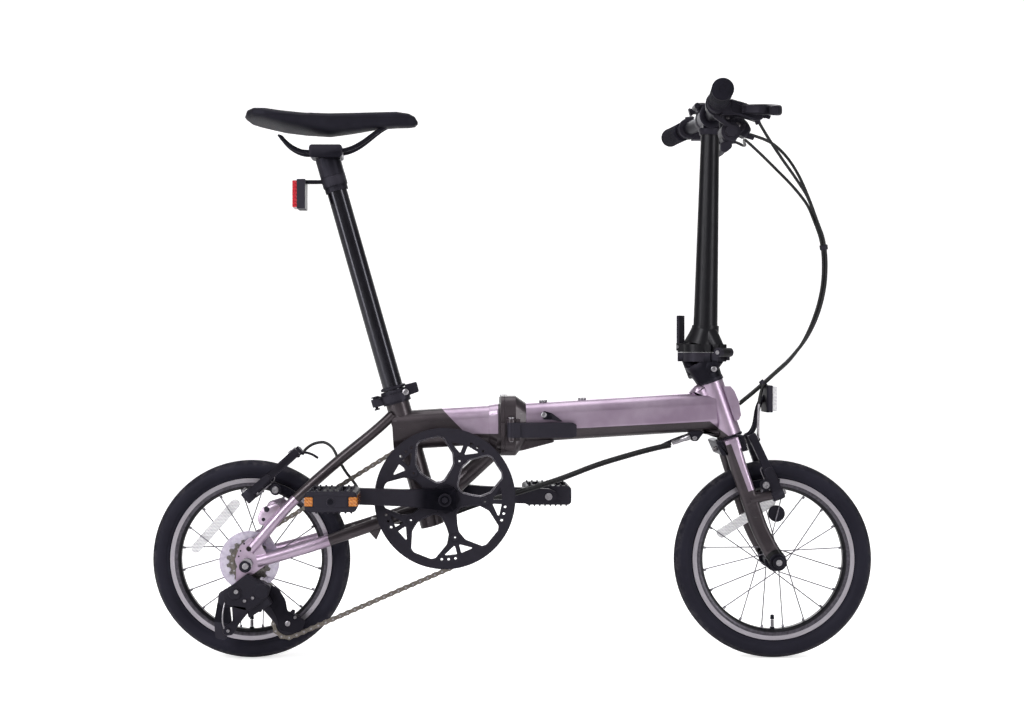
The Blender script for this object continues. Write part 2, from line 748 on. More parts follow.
def tyre(end, wheel_x, material):
    body = end + "_wheel"
    verts = []
    for i in range(TYRE_STEPS):
        angle = 2 * math.pi * i / TYRE_STEPS
        for y, r in TYRE_SECTION:
            # slanted sipes across the shoulder
            if 9.0 <= abs(y) <= 15.3 and r > 155.5 and (i + int(abs(y) - 9)) % 6 == 0:
                r -= SIPE_DEPTH
            x, z = polar((wheel_x, WHEEL_Z), r, angle)
            verts.append((x, y, z))
    name = f"tyre_{end}_skin"
    skin = add_piece(name, verts, loop_faces(TYRE_STEPS, len(TYRE_SECTION)), material, body)
    skin.data.flip_normals()

    def below_axle(distance):
        return wheel_x, 0, WHEEL_Z - distance

    # valve: rubber foot and cap, threaded barrel
    valve = Shape().rod(below_axle(115.6), below_axle(112.5), 4.2, 3.6, sides=16, bevel=0.4)
    valve.rod(below_axle(100), below_axle(92.6), 3.4, 3.0, sides=16, bevel=0.5)
    valve.make(name + "_valve_cap", RUBBER, body, "rubber")
    rings = [(0, 2.6)]
    for i in range(16):
        rings += [(0.4 + i * 0.75, 2.9), (0.75 + i * 0.75, 2.5)]
    Shape().lathe(below_axle(113.0), Z, rings, 16).make(
        name + "_valve_stem", STEEL, body, "steel")
    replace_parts(skin, end + "_tyre")


tyre("front", FRONT_X, TYRE_FRONT)
tyre("rear", REAR_X, TYRE_REAR)

# ------------------------------------------------------------------ saddle
# stations from tail to nose: x, top z, bottom z, half width
SADDLE_STATIONS = [
    (-437, 887, 884, 18), (-430, 895, 879, 50), (-418, 898.3, 876, 68), (-400, 897.5, 872, 75.5),
    (-375, 894.2, 866, 72.5), (-340, 891.8, 860.5, 58), (-300, 892.2, 856.5, 38.5),
    (-262, 893.6, 861.0, 27.5), (-220, 895.2, 868, 21.5), (-190, 896.0, 870.0, 19.5),
    (-170, 893.0, 870.2, 17.0), (-160, 888.0, 871.5, 13.0), (-155, 880, 876, 5.0)]


def saddle():
    steps, sides = 90, 56
    xs, tops, bottoms, widths = zip(*SADDLE_STATIONS)
    verts = []
    for i in range(steps + 1):
        t = i / steps
        t -= 0.16 * math.sin(2 * math.pi * t) / 2
        x = xs[0] + (xs[-1] - xs[0]) * t
        top, bottom, width = (float(np.interp(x, xs, row)) for row in (tops, bottoms, widths))
        edge = bottom * 0.45 + top * 0.55
        channel = 3.2 * max(0.0, math.sin(math.pi * min(1, max(0, (x + 425) / 250))))
        crown = 2.0 * (1 if x < -330 else 0.4)
        for j in range(sides):
            q = 2 * math.pi * j / sides
            c, s = math.cos(q), math.sin(q)
            y = width * math.copysign(abs(c) ** 0.62, c)
            if s >= 0:
                z = edge + (top - edge) * (abs(s) ** 0.55)
                z -= channel * math.exp(-(y / 7.5) ** 2) + crown * (abs(y) / 76.0) ** 2
            else:
                z = edge - (edge - bottom) * (abs(s) ** 0.5)
                y *= 1 - 0.10 * abs(s)
            verts.append((x, y, z))
    skin = add_piece("saddle_skin", verts, tube_faces(steps + 1, sides, flip_caps=True),
                     saddle_cover(), "seatpost")
    tidy(skin)
    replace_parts(skin, "saddle")


saddle()

# ------------------------------------------------------------------ grips
# centre line of the handlebar: y, x, z
BAR_LINE = [(-275, 299, 890), (-150, 313, 889), (-60, 323, 888), (0, 325, 888),
            (60, 323, 888), (150, 313, 889), (275, 299, 890)]


def on_bar(y):
    ys, xs, zs = zip(*BAR_LINE)
    return Vector((float(np.interp(y, ys, xs)), y, float(np.interp(y, ys, zs))))


def grip(side, side_name):
    """Ribbed grip with a collar at each end."""
    inner, outer = on_bar(side * 186), on_bar(side * 275)
    length = (outer - inner).length + 2.5
    rings = [(0, 11.3), (0, 15.2), (0.8, 16.2), (4.5, 16.4), (5.2, 15.2)]
    ribs = 17
    pitch = (length - 15) / ribs
    for i in range(ribs):
        start = 6 + pitch * i
        rings += [(start + share * pitch, radius) for share, radius in
                  ((0.15, 15.5), (0.35, 16.25), (0.7, 16.25), (0.9, 15.5))]
    rings += [(length - back, radius) for back, radius in
              ((8, 15.6), (7, 16.5), (2.5, 16.6), (0.6, 15.6), (0, 13.0), (0, 6), (0.8, 5.5))]
    return Shape().lathe(inner, outer - inner, rings, 48).make(
        "grip_" + side_name, RUBBER, "handlepost", "rubber", angle=50)


grips = [grip(*side) for side in SIDES]
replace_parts(grips[0], "grips")

# ------------------------------------------------------------------ chain
PITCH = 12.7
CHAIN_Y = -43.0
# centre, teeth, turning sense
CHAIN_WHEELS = [(BRACKET, 53, 1), ((REAR_X, WHEEL_Z), 13, 1),
                ((-406.5, 105.2), 11, -1), ((-365.0, 62.3), 11, 1)]


def pitch_radius(teeth):
    return PITCH / 2 / math.sin(math.pi / teeth)


def tangent(wheel, following):
    """Points where the straight run leaves one wheel and meets the following one."""
    (c1, teeth1, s1), (c2, teeth2, s2) = wheel, following
    r1, r2 = s1 * pitch_radius(teeth1), s2 * pitch_radius(teeth2)
    dx, dz = c2[0] - c1[0], c2[1] - c1[1]
    angle = math.atan2(dz, dx) + math.asin((r1 - r2) / math.hypot(dx, dz))
    nx, nz = -math.sin(angle), math.cos(angle)
    return (c1[0] - nx * r1, c1[1] - nz * r1), (c2[0] - nx * r2, c2[1] - nz * r2)


def chain_line():
    """Closed line round the four wheels: an arc, then a straight run, for each."""
    runs = [tangent(CHAIN_WHEELS[i], CHAIN_WHEELS[(i + 1) % 4]) for i in range(4)]
    points = []
    for i, (centre, teeth, sense) in enumerate(CHAIN_WHEELS):
        r = pitch_radius(teeth)
        meet, (leave, target) = runs[i - 1][1], runs[i]
        a0, a1 = (math.atan2(p[1] - centre[1], p[0] - centre[0]) for p in (meet, leave))
        while (a1 - a0) * sense < 0:
            a1 += 2 * math.pi * sense
        steps = max(4, int(abs(a1 - a0) * r / 1.5))
        points += [polar(centre, r, a0 + (a1 - a0) * k / steps) for k in range(steps + 1)]
        dx, dz = target[0] - leave[0], target[1] - leave[1]
        steps = int(math.hypot(dx, dz) / 2)
        points += [(leave[0] + dx * k / steps, leave[1] + dz * k / steps)
                   for k in range(1, steps)]
    return np.array(points)


def chain_pins():
    """Pin places (x, z), evenly spaced, with an even number of links."""
    line = chain_line()
    run = np.concatenate([[0], np.cumsum(np.hypot(*(np.roll(line, -1, 0) - line).T))])
    line = np.vstack([line, line[:1]])
    links = int(round(run[-1] / PITCH / 2)) * 2
    return [tuple(float(np.interp(run[-1] * i / links, run, line[:, k])) for k in (0, 1))
            for i in range(links)]


def chain():
    pins = chain_pins()
    plates, rollers = Shape(), Shape()
    end_radius, waist = 3.9, 2.7
    for i, (x, z) in enumerate(pins):
        next_x, next_z = pins[(i + 1) % len(pins)]
        d = Vector((next_x - x, 0, next_z - z))
        length = d.length
        d.normalize()
        outline = []
        for centre_x, start, waist_z in ((0, 90, -waist), (length, -90, waist)):
            outline += [polar((centre_x, 0), end_radius, math.radians(start + 180 * k / 6))
                        for k in range(7)]
            outline.append((length * 0.5, waist_z))
        inner_face = 1.9 if i % 2 else 2.75
        for side in (-1, 1):
            y0, y1 = sorted(CHAIN_Y + side * y for y in (inner_face, inner_face + 0.8))
            plates.prism(outline, y0, y1, axes=(d, Y.cross(d), Y), origin=(x, 0, z))
        # pin, then roller: half length, radius, sides
        for half, radius, sides in ((3.75, 1.7, 8), (1.75, 3.6, 10)):
            rollers.rod((x, CHAIN_Y - half, z), (x, CHAIN_Y + half, z), radius, sides=sides)
    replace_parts(plates.make("chain_plates", CHAIN, "rear_frame", "chain_steel"), "chain")
    rollers.make("chain_rollers", STEEL, "rear_frame", "chain_steel")


chain()

# ------------------------------------------------------------------ cables
HOUSING_RADIUS = 2.45
# shared run of the front cables, from the handlebar down to the frame: x, y, z
BUNDLE = [
    (492.04, -34, 714.39), (504.49, -26, 684.07), (509.99, -20, 648.55), (508.97, -14, 606.32),
    (499.27, -10, 563.86), (481.70, -8, 524.54), (457.53, -6, 491.72), (431.89, -3, 467.05),
    (403.49, 3, 440.59), (376.60, 9, 417.31)]
# each cable's own start, then its place in the bundle: sideways and raised
STRANDS = [
    ([(375.90, -150, 860.37), (383.68, -146, 848.51), (399.37, -130, 830.38),
      (423.63, -104, 805.27), (448.29, -78, 781.17), (474.77, -50, 751.86)], 2.6, 1.6),
    ([(364.13, -118, 843.84), (374.33, -114, 842.96), (405.09, -102, 833.01),
      (432.65, -84, 813.97), (456.18, -64, 787.47), (476.32, -46, 753.85)], -2.6, 1.6),
    ([(393, 150, 866.6), (401, 150, 863.6), (407, 142, 859), (405, 116, 857), (396, 76, 858),
      (389.34, 24, 852.55), (406.98, 4, 830.53), (431.67, -12, 801.25), (456.89, -24, 771.40),
      (477.89, -32, 741.52)], 0, -3.0)]
# under the main tube, from the lug to the bottom bracket
LOWER_RUN = [(260.17, -9, 351.43), (233.81, -10, 345.92), (196, -11, 336), (140, -11, 319),
             (80, -8, 296), (20, -4, 276), (-40, 4, 258), (-70, 6, 248), (-92, 3, 240)]
REAR_BRAKE_RUN = [(-345, -6, 333), (-338, -4, 343), (-325, -3, 351), (-308, -6, 353),
                  (-294, -14, 344), (-284, -20, 326), (-272, -22, 306), (-258, -22, 288),
                  (-246, -21, 268)]


def front_cables():
    cables = Shape()
    for start, sideways, raised in STRANDS:
        shared = [(x + raised * (0.9 if k < 6 else 0.3),
                   y + sideways * (1 if k < 9 else 0.8),
                   z + (0 if k < 5 else raised * 0.8)) for k, (x, y, z) in enumerate(BUNDLE)]
        cables.tube(spline(start + shared, 140), HOUSING_RADIUS)
    piece = cables.make("cable_housings_front", HOUSING, "handlepost", "rubber", angle=60)
    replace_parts(piece, "cable_loop")
    # binding rings near both ends of the bundle
    ties = Shape()
    line = spline(BUNDLE, 60)
    for k in (9, 51):
        d = (line[k + 1] - line[k]).normalized()
        ties.lathe(line[k] - d * 4, d, [(0, 6.0), (0.6, 6.6), (7.4, 6.6), (8, 6.0)], 20)
    ties.make("cable_ties", PLASTIC, "handlepost", "plastic_black")


def rear_cables():
    cables = Shape()
    for dy, dz in ((-2.6, 0), (2.6, 0), (0, -4.2)):
        cables.tube(spline([(x, y + dy, z + dz) for x, y, z in LOWER_RUN], 80), HOUSING_RADIUS)
    cables.tube(spline(REAR_BRAKE_RUN, 60), 2.4)
    piece = cables.make("cable_housings_rear", HOUSING, "rear_frame", "rubber", angle=60)
    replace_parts(piece, "frame_cables")
    # the cables bend with the fold, so they blend between two bodies
    piece.parent = None
    del piece["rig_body"]
    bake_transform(piece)


front_cables()
rear_cables()
start, end = Vector((291.31, -9, 362.90)), Vector((260.17, -9, 351.75))
ferrule = Shape().lathe(start, end - start, [
    (0, 3.4), (0.5, 4.9), (10, 4.9), (11, 4.2), (20, 3.9), (21, 4.2), (30, 3.6), (31, 2.6)], 24)
ferrule.bolt((298.56, -14, 360.58), TO_RIGHT, 3.6, 2.2)
ferrule.make("cable_ferrule", STEEL, "front_frame", "steel")

# ------------------------------------------------------------------ chain guard and crank
# outline of one window about the bottom bracket: radius, degrees
WINDOW = [(30, 23), (28, 36), (30, 49), (46, 61.5), (58, 64.5), (74.5, 60.5), (98, 48.8),
          (101, 44.5), (101, 27.5), (98, 23.2), (74.5, 11.5), (58, 7.5), (46, 10.5)]


def window_bevel(index):
    """Sloping rim round one window of the chain guard."""
    turn = -3.4 + 72 * index
    outline = rounded([polar(BRACKET, r, math.radians(turn + degrees)) for r, degrees in WINDOW],
                      2.5)
    verts = []
    for p, q in zip(offset(outline, 1.5), offset(outline, -0.9)):
        verts += [(p[0], -50.35, p[1]), (p[0], -50.75, p[1]),
                  (q[0], -48.4, q[1]), (q[0], -46.8, q[1])]
    Shape().add(verts, loop_faces(len(outline), 4)).make(
        f"window_bevel_{index}", BEVEL_BRIGHT if index < 2 else BEVEL_DARK,
        "crankset", "black_alloy")


for i in range(5):
    window_bevel(i)
Shape().lathe((BRACKET[0], -76.2, BRACKET[1]), TO_RIGHT, [
    (0, 10.5), (1.2, 10.5), (2.0, 9.6), (2.0, 7.6), (0.8, 7.2), (0.8, 4.6), (-1.6, 4.2)]).make(
    "crank_bolt_cover", FORGED, "crankset", "black_alloy")

# ------------------------------------------------------------------ V-brakes
PAD_RADIUS = 126.5
# end, wheel x, pivot (x, z), arm direction (x, z), distance from the middle plane,
# angle of the pad round the wheel, width of the arm
BRAKES = (("rear", REAR_X, (-427.0, 271.0), (0.74, 0.6726), 50, math.atan2(111.0, 42.4), 0.74),
          ("front", FRONT_X, (429.5, 271.5), (-0.38, 0.925), 38, math.atan2(124.0, -20.0), 1.0))


def brake_arm(side, body, wheel_x, pivot, direction, out, pad_angle, width):
    d = Vector((direction[0], 0, direction[1])).normalized()
    n = Vector((-d.z, 0, d.x)) * (-1 if wheel_x > 0 else 1)
    outward = Y * side
    wheel = (wheel_x, WHEEL_Z)
    foot = Vector((pivot[0], 0, pivot[1]))
    boss = foot + outward * out
    pad_x, pad_z = polar(wheel, PAD_RADIUS, pad_angle)
    pad = Vector((pad_x, 0, pad_z))

    # lower arm: broad cast plate
    lower = rounded([(-8.5 * width, -9), (8.5 * width, -9), (9.0 * width, 30), (7.0 * width, 46),
                     (-7.0 * width, 46), (-9.0 * width, 30)], 4)
    arm = Shape().prism(lower, *span(side, out - 5.5, out + 6.5), 1.2, (n, d, Y), foot)
    # upper arm leaning in towards the middle
    lean = (d * 63 - outward * 20).normalized()
    upper = rounded([(-7.0 * width, 0), (7.0 * width, 0), (6.2 * width, 34), (5.4, 66),
                     (-5.4, 66), (-6.2 * width, 34)], 3)
    arm.prism(upper, -5.0, 5.0, 1.0, (n, lean, lean.cross(n).normalized()), boss + d * 40)
    arm.lathe(boss - n * 11, n, [(0, 8.5), (1.0, 9.4), (19, 9.4), (20, 8.6)], 24)
    # washers outside the pad: from, to, radius
    for near, far, radius in ((6.6, 8.2, 9.0), (8.2, 9.4, 7.6), (9.4, 11.0, 8.2)):
        arm.rod(pad + outward * (out + near), pad + outward * (out + far), radius, sides=24,
                bevel=0.3)
    arm.rod(pad + outward * (out - 7), pad + outward * (out - 18), 6.2, 4.4)
    arm.make(body + "_arm", BLACK, body, "black_alloy")

    parts = Shape().bolt(pad + outward * (out + 11), outward, 5.6, 4.6)
    parts.bolt(boss + n * 9.6, n, 4.8, 3.6)
    # return spring along the arm: across, inwards, up the arm
    spring = [boss + n * across - outward * inward + d * rise for across, inward, rise in
              ((-8, 8, 2), (-9.5, 8.5, 20), (-10, 8, 44), (-5, 7, 50))]
    parts.tube(spline(spring, 16), 0.9, 8)
    # adjuster screw at the foot and cable anchor at the top of the arm
    parts.bolt(boss - n * 6 + d * 12, -n, 2.2, 2.4)
    parts.bolt(boss - outward * 21 + d * 100 - lean * 6 + n * 5.4, n, 4.0, 3.2)
    parts.make(body + "_hardware", STEEL, body, "steel")

    # ribbed holder round the pad's rubber
    outline = [polar(wheel, radius, pad_angle + sense * (-0.225 + 0.45 * i / 12))
               for radius, sense in ((132.8, 1), (121.0, -1)) for i in range(13)]
    holder = Shape().prism(outline, *span(side, 17.2, 21.6), 0.8)
    for i in range(6):
        x, z = polar(wheel, 127, pad_angle - 0.18 + 0.072 * i)
        rib = Vector((x, side * 21.4, z))
        holder.rod(rib, rib + outward * 1.6, 2.6, 2.2, sides=12)
    holder.make(body + "_holder", RUBBER, body, "rubber")


for side, side_name in SIDES:
    for end, *sizes in BRAKES:
        brake_arm(side, f"{end}_brake_{side_name}", *sizes)


def bellows(t):
    return 1.0 - 0.35 * abs(math.sin(t * 12))


Shape().tube(spline([(403.54, -16, 419.88), (402.16, -18, 406.88), (401.12, -20, 384.11),
                     (401.15, -19, 367.73), (402.49, -13, 360.02)], 30), 2.1, 12).make(
    "front_brake_pipe", STEEL, "fork", "steel")
Shape().tube(spline([(403.38, -11, 358.27), (404.28, 2, 357.48), (405.64, 14, 357.58)], 12),
             3.1, 14, bellows).make("front_brake_boot", RUBBER, "fork", "rubber")
Shape().tube([(405.25, 12, 357.70), (406.38, 22, 357.77)], 0.8, 8).make(
    "front_brake_wire", DARK_STEEL, "fork", "steel")
Shape().tube(spline([(412.42, -10, 449.15), (407.73, -13, 437.77), (404.03, -16, 424.78),
                     (403.28, -16.5, 416.63)], 20), 2.6, 12).make(
    "front_brake_lead", HOUSING, "fork", "rubber")
Shape().tube(spline([(-318.10, -14, 328.18), (-327.74, -16, 334.21), (-338.01, -20, 337.43),
                     (-345.98, -22, 335.61), (-349.88, -17, 332.32)], 30), 2.0, 12).make(
    "rear_brake_pipe", BLACK, "rear_frame", "black_alloy")
Shape().tube(spline([(-350.24, -15, 331.85), (-352.81, 0, 330.46), (-354.99, 16, 329.33)], 12),
             3.0, 14, bellows).make("rear_brake_boot", RUBBER, "rear_frame", "rubber")

# ------------------------------------------------------------------ brake levers
LEVER_Y = 150
# side view of the housing: x, z
HOUSING_OUTLINE = [(331, 894), (352, 888), (372, 880.5), (383, 872), (381, 862), (372, 859.5),
                   (352, 866), (331, 872)]
# centre line of the blade from above: x, distance from the middle
BLADE_LINE = [(352, 158), (364, 168), (377, 182), (384.5, 204), (387, 228), (385.5, 248),
              (381.5, 262), (376.5, 266)]


def lever_housing(side, side_name):
    """Housing that reaches forward and a little down, with its barrel and bolts."""
    bar = on_bar(side * LEVER_Y)
    y = side * LEVER_Y
    shell = Shape().prism(rounded(HOUSING_OUTLINE, 3), *span(side, 140.5, 160.5), 2.2)
    shell.rod((372, y, 868), (376, y, 855.5), 5.0, 4.2, sides=18, bevel=0.6)
    for q in (-1, 1):
        shell.rod(bar + Y * q * 5.5, bar + Y * q * 9.4, 18.2, 16.8, sides=36)
    shell.rod(bar + Vector((-6, -5, 15)), bar + Vector((8, -5, 17)), 5.0, 4.4, sides=16,
              bevel=0.6)
    shell.make("lever_housing_" + side_name, BLACK, "handlepost", "black_alloy")
    Shape().lathe((381, y, 871), (0.93, 0, -0.36), [
        (0, 4.8), (2, 5.0), (2.6, 4.2), (4.4, 5.0), (5.0, 4.2), (7.0, 4.6), (8, 3.4),
        (14, 3.2)], 18).make("lever_barrel_" + side_name, BLACK, "handlepost", "black_alloy")
    bolts = Shape().bolt(bar + Vector((6, -5, 18.5)), (0.3, 0, 0.95), 3.2, 2.4)
    bolts.bolt((347.978, side * 150.161, 886.3), Z, 4.4, 2.0)
    bolts.bolt((362, side * 160.6, 873), Y * side, 3.0, 1.6)
    bolts.make("lever_bolts_" + side_name, DARK_STEEL, "handlepost", "steel")


def lever_blade(side, side_name):
    """Rounded skin over the plain lever, with a hooked tip."""
    line = spline([(x, side * y, 877.8 - 0.167 * max(0.0, y - 158)) for x, y in BLADE_LINE], 40)
    last, sides = len(line) - 1, 16
    verts = []
    for j, p in enumerate(line):
        t = j / last
        across = (line[min(j + 1, last)] - line[max(j - 1, 0)]).normalized().cross(Z).normalized()
        width = 6.6 - 1.0 * math.sin(math.pi * min(1, t * 1.3)) + (1.2 if t > 0.9 else 0)
        height = 7.0 + 1.5 * math.sin(math.pi * t)
        for q in range(sides):
            c, s = math.cos(2 * math.pi * q / sides), math.sin(2 * math.pi * q / sides)
            verts.append(p + across * width * math.copysign(abs(c) ** 0.7, c)
                         + Z * height * math.copysign(abs(s) ** 0.6, s))
    Shape().add(verts, tube_faces(len(line), sides, flip_caps=True)).make(
        "lever_blade_" + side_name, BLACK, "brake_lever_" + side_name, "black_alloy", angle=50)


for side in SIDES:
    lever_housing(*side)
    lever_blade(*side)

# ------------------------------------------------------------------ shifter
DIAL = (346, 856)                          # x, z
shell = Shape().prism(rounded([
    (322, 884), (340, 880), (352, 872), (364, 860), (369, 849), (360, 837), (350, 842),
    (342, 828), (327, 826), (322, 838), (326, 856)], 4), -134, -105, 3.0)
shell.rod((DIAL[0], -136, DIAL[1]), (DIAL[0], -103, DIAL[1]), 13.5, sides=32, bevel=2.2)
shell.rod((353, -118, 846), (375, -118, 838), 5.0, 3.6, sides=18, bevel=0.8)
for i in range(9):
    x, z = polar(DIAL, 10.5, 2 * math.pi * i / 9)
    shell.rod((x, -136.8, z), (x, -135, z), 1.6, sides=8)
bar = on_bar(-118)
shell.rod((bar.x, -126, bar.z), (bar.x, -109, bar.z), 17.0, sides=32, bevel=1.0)
shell.make("shifter_shell", PLASTIC, "handlepost", "plastic_black")
bolts = Shape().bolt((DIAL[0], -136.4, DIAL[1]), TO_RIGHT, 4.5, 2.2, socket=0.45)
bolts.bolt((331, -134.2, 868), TO_RIGHT, 3.0, 1.6)
bolts.bolt((333, -134.2, 838), TO_RIGHT, 2.6, 1.6)
bolts.make("shifter_bolts", DARK_STEEL, "handlepost", "steel")
Shape().prism(rounded([(319, 828), (335, 834), (338, 822), (328, 813), (319, 816)], 3.5),
              -140, -126, 2.0).make("shifter_release", PLASTIC, "handlepost", "plastic_black")

# ------------------------------------------------------------------ bell and handlebar clamp
# the bell sits on the left half of the bar
bar = on_bar(52)
bell = Shape().lathe(bar + Vector((-3, 0, 11.5)), (-0.1, 0, 1), [
    (0, 9.0), (3, 9.0), (3.2, 15.8), (7, 16.4), (12, 15.2), (16, 12.0), (19, 7.0), (20.2, 0.4)],
    40)
bell.rod((bar.x, 44, bar.z), (bar.x, 60, bar.z), 14.5, sides=32, bevel=1.0)
bell.prism(rounded([(bar.x + dx, bar.z + dz) for dx, dz in
                    ((-26, 22), (-14, 20), (-13, 15), (-22, 8), (-24, 15))], 2), 46, 58, 1.0)
bell.make("bell", BLACK, "handlepost", "black_alloy")

bolts = Shape()
for side in (-1, 1):
    for z in (892, 883):
        bolts.bolt((352.2, side * 12, z), X, 4.2, 3.4)
bolts.make("clamp_bolts", DARK_STEEL, "handlepost", "steel")
rings = Shape()
for side in (-1, 1):
    rings.lathe((325, side * 21, 888), Y * side,
                [(-4, 19.4), (-1, 20.2), (1.4, 20.2), (2.2, 18.6), (2.2, 11.4)], 40)
rings.rod((303, -14, 905), (303, 14, 905), 5.0, sides=18, bevel=0.8)
rings.block((303, -9, 896), (322, 9, 909), 2.0)
rings.rod((325.5, 0, 858), (325.9, 0, 869), 17.4, 18.6, sides=40, bevel=0.8)
rings.make("clamp_rings", BLACK, "handlepost", "black_alloy")

# ------------------------------------------------------------------ rear derailleur
# outline (x, z), y range, corner radius, chamfer
DERAILLEUR_PLATES = (
    ([(-426.89, 146.83), (-444.48, 134.03), (-464.48, 111.64), (-460.48, 98.84),
      (-447.68, 92.45), (-425.29, 86.85), (-410.89, 95.65), (-393.30, 110.04),
      (-388.50, 127.63), (-407.70, 137.23)], -80, -62, 4, 2.4),
    ([(-450.61, 99.17), (-449.01, 72.00), (-466.59, 59.22), (-464.19, 48.03),
      (-449.01, 50.43), (-439.42, 67.21), (-425.04, 84.79), (-426.63, 95.98)], -80, -68, 3, 1.8),
    ([(-428.74, 95.31), (-409.54, 104.92), (-393.53, 111.32), (-387.13, 98.52),
      (-406.33, 87.31), (-423.94, 76.11)], -76, -56, 3, 1.8))
# round bosses: x, z, radius, outer y, inner y
DERAILLEUR_BOSSES = ((-430.54, 158.14, 9.6, -73, -50), (-445.29, 117.10, 10.5, -83, -60),
                     (-403.60, 120.30, 12.0, -82.5, -52), (-458.11, 56.17, 6.4, -82, -66))
# the cage's outer and inner plate: y range, outline (x, z)
CAGE_PLATES = (
    (-53.6, -51.2,
     [(-415.17, 124.27), (-395.81, 128.30), (-378.87, 120.23), (-367.57, 101.68),
      (-364.35, 83.93), (-349.02, 76.67), (-335.30, 68.60), (-339.34, 54.89), (-357.08, 48.44),
      (-378.06, 53.28), (-381.29, 72.64), (-390.97, 90.38), (-410.33, 98.45)]),
    (-35.2, -33.4,
     [(-417.11, 121.82), (-397.63, 125.87), (-380.58, 117.76), (-369.22, 99.09),
      (-365.97, 81.23), (-350.55, 73.92), (-336.75, 65.81), (-340.81, 52.01), (-358.66, 45.51),
      (-379.77, 50.38), (-383.02, 69.86), (-392.76, 87.72), (-412.24, 95.84)]))
# x, y, z, radius
DERAILLEUR_BOLTS = (
    (-429.64, -73, 159.12, 5.0), (-363.82, -53.6, 64.24, 4.2), (-405.06, -53.6, 107.42, 4.2),
    (-442.87, -84, 119.92, 3.4), (-351.90, -53.6, 74.23, 2.6), (-455.89, -82, 57.47, 2.6),
    (-417.10, -80, 109.73, 2.6), (-429.86, -80, 104.94, 2.6))

shell = Shape()
for outline, y0, y1, corner, bevel in DERAILLEUR_PLATES:
    shell.prism(rounded(outline, corner), y0, y1, bevel)
for x, z, radius, y0, y1 in DERAILLEUR_BOSSES:
    depth = y1 - y0
    shell.lathe((x, y1, z), TO_RIGHT, [
        (0, radius * 0.94), (1.2, radius), (depth - 1.6, radius), (depth, radius * 0.86)], 28)
shell.make("derailleur_body", PLASTIC, "rear_frame", "plastic_black")
cage = Shape()
for y0, y1, outline in CAGE_PLATES:
    cage.prism(rounded(outline, 4), y0, y1, 0.5)
cage.make("derailleur_cage_plates", FORGED, "rear_frame", "plastic_black")
bolts = Shape()
for x, y, z, radius in DERAILLEUR_BOLTS:
    bolts.bolt((x, y, z), TO_RIGHT, radius, 2.4)
bolts.tube(spline([(-461.89, -79, 101.59), (-464.46, -80, 87.40), (-464.93, -80, 71.46),
                   (-461.89, -79, 58.53)], 20), 1.2, 8)
bolts.make("derailleur_bolts", STEEL, "rear_frame", "steel")

# ------------------------------------------------------------------ dropouts, axles and headset
BOSS_PLATE = [(-404.68, 250.91), (-381.29, 258.17), (-374.83, 251.72), (-388.55, 232.36),
              (-398.55, 221.07), (-409.68, 223.49), (-412.91, 233.97), (-408.71, 244.46)]
for side, side_name in SIDES:
    Shape().prism(rounded(BOSS_PLATE, 4), *span(side, 43.5, 54.5), 1.0).make(
        "brake_boss_plate_" + side_name, PAINT_LIGHT, "rear_frame", "frame_paint", angle=50)
Shape().lathe((REAR_X, -60.6, WHEEL_Z), TO_RIGHT, [
    (0, 9.6), (1.0, 10.2), (3.4, 9.4), (3.4, 6.4), (5.6, 6.0), (6.0, 5.0)], 6).make(
    "rear_axle_nut", STEEL, "rear_frame", "steel")


def dark_holes(name, y0, y1, holes):
    """Flat black discs that stand for holes. holes are (x, z, radius)."""
    discs = Shape()
    for x, z, radius in holes:
        discs.rod((x, y0, z), (x, y1, z), radius, sides=24)
    discs.make(name, BLACK, "rear_frame", "black_alloy")


dark_holes("dropout_holes", -62.45, -61.0, (
    (-418.01, 194.87, 4.6), (-407.25, 169.02, 4.0), (-432.94, 193.90, 1.6),
    (-438.56, 182.34, 1.4), (-441.61, 173.51, 1.4)))
washers = Shape()
for side in (-1, 1):
    washers.lathe((FRONT_X, side * 46.8, WHEEL_Z), Y * side, [
        (0, 13.5), (1.2, 14.2), (2.0, 13.0), (2.0, 9.6), (8.4, 9.6), (9.0, 8.6), (9.0, 4.2)], 30)
washers.make("front_axle_washers", BLACK, "fork", "black_alloy")
rings = Shape().lathe(HEAD_TOP - HEAD_AXIS * 96.5, HEAD_AXIS,
                      [(0, 20.0), (0.6, 21.6), (3.6, 21.6), (4.2, 20.0)], 48)
rings.lathe(HEAD_TOP - HEAD_AXIS * 0.5, HEAD_AXIS,
            [(0, 21.0), (0.6, 22.6), (3.0, 22.6), (3.8, 21.6)], 48)
rings.make("headset_rings", BLACK, "fork", "black_alloy")
Shape().bolt((326.79, -31, 474.07), TO_RIGHT, 4.6, 2.6).make("stem_bolt", STEEL, "fork", "steel")


